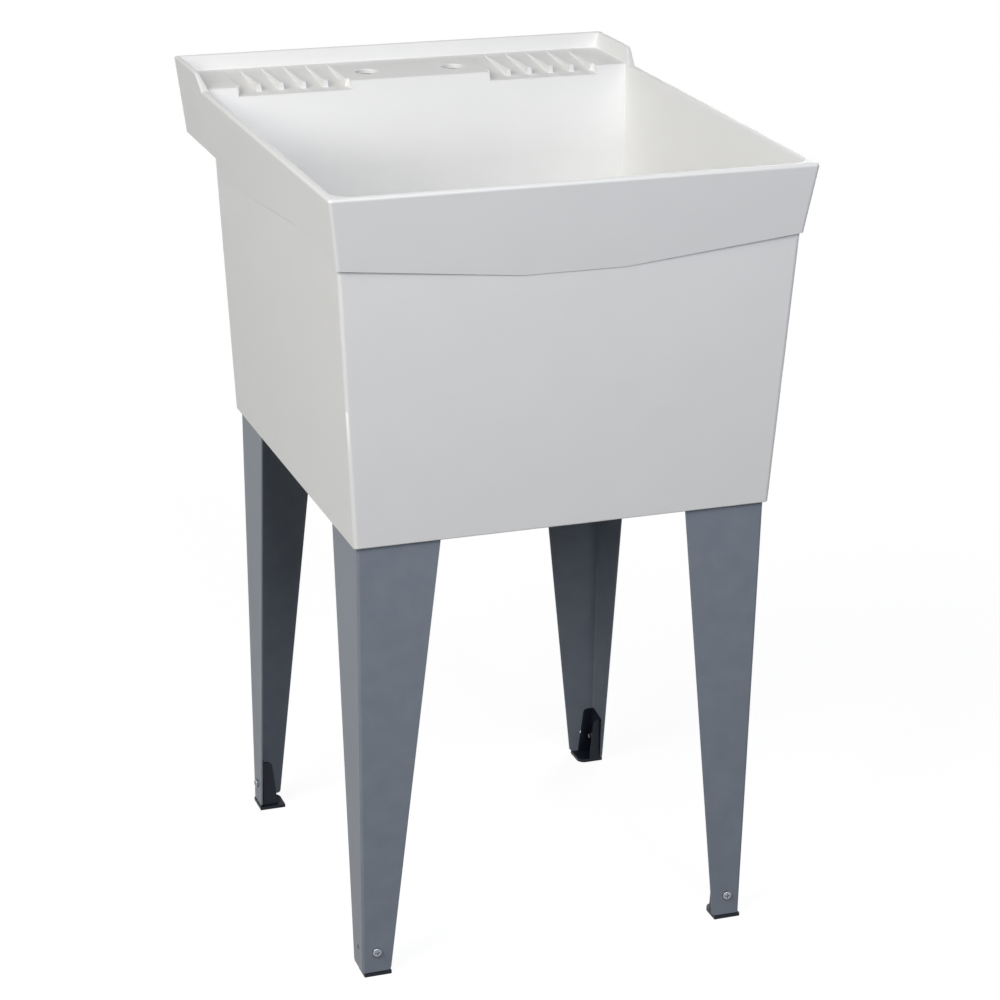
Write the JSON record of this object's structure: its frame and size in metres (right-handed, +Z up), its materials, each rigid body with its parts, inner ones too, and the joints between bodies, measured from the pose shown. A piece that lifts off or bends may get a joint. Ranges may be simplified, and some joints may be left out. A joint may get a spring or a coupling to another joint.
{
  "type": "utility laundry sink",
  "caption": "Floor-standing laundry sink: deep tapered tub with a faucet ledge, drying channels and a low splash lip, on tapered angle legs with levelling feet.",
  "frame": {"origin": "on the floor under the middle of the sink's overall box", "axes": "+Z up, -Y towards the person at the sink, +X to that person's right"},
  "size_m": [0.5106, 0.605, 0.865],
  "materials": {
    "tub_plastic": "fine moulded grain",
    "leg_paint": "satin baked paint",
    "foot_plastic": "moulded",
    "zinc_plate": "zinc plated",
    "drain_plastic": "moulded",
    "gasket_rubber": "matt",
    "washer_plastic": "translucent",
    "stopper_rubber": "matt",
    "ring_steel": "polished"
  },
  "bodies": {
    "sink": {"tub": "tub_plastic", "leg_front_left": "leg_paint", "leg_front_right": "leg_paint", "leg_back_right": "leg_paint", "leg_back_left": "leg_paint", "foot_screw_front_left": "zinc_plate", "foot_screw_front_right": "zinc_plate", "foot_screw_back_right": "zinc_plate", "foot_screw_back_left": "zinc_plate", "foot_nut_front_left": "zinc_plate", "foot_nut_front_right": "zinc_plate", "foot_nut_back_right": "zinc_plate", "foot_nut_back_left": "zinc_plate", "drain_strainer": "drain_plastic", "drain_gasket": "gasket_rubber", "drain_locknut": "drain_plastic", "tailpiece_washer": "washer_plastic", "tailpiece": "drain_plastic", "coupling_nut": "drain_plastic"},
    "front_left_levelling_foot": {"foot_front_left": "foot_plastic"},
    "front_right_levelling_foot": {"foot_front_right": "foot_plastic"},
    "back_right_levelling_foot": {"foot_back_right": "foot_plastic"},
    "back_left_levelling_foot": {"foot_back_left": "foot_plastic"},
    "drain_stopper": {"stopper": "stopper_rubber", "pull_ring": "ring_steel"}
  },
  "joints": [
    {"name": "front_left_foot_height", "type": "slide", "parent": "sink", "child": "front_left_levelling_foot", "axis": [0, 0, -1], "range_m": [0, 0.016]},
    {"name": "front_right_foot_height", "type": "slide", "parent": "sink", "child": "front_right_levelling_foot", "axis": [0, 0, -1], "range_m": [0, 0.016]},
    {"name": "back_right_foot_height", "type": "slide", "parent": "sink", "child": "back_right_levelling_foot", "axis": [0, 0, -1], "range_m": [0, 0.016]},
    {"name": "back_left_foot_height", "type": "slide", "parent": "sink", "child": "back_left_levelling_foot", "axis": [0, 0, -1], "range_m": [0, 0.016]},
    {"name": "stopper_lift", "type": "slide", "parent": "sink", "child": "drain_stopper", "axis": [0, 0, 1], "range_m": [0, 0.35]}
  ]
}
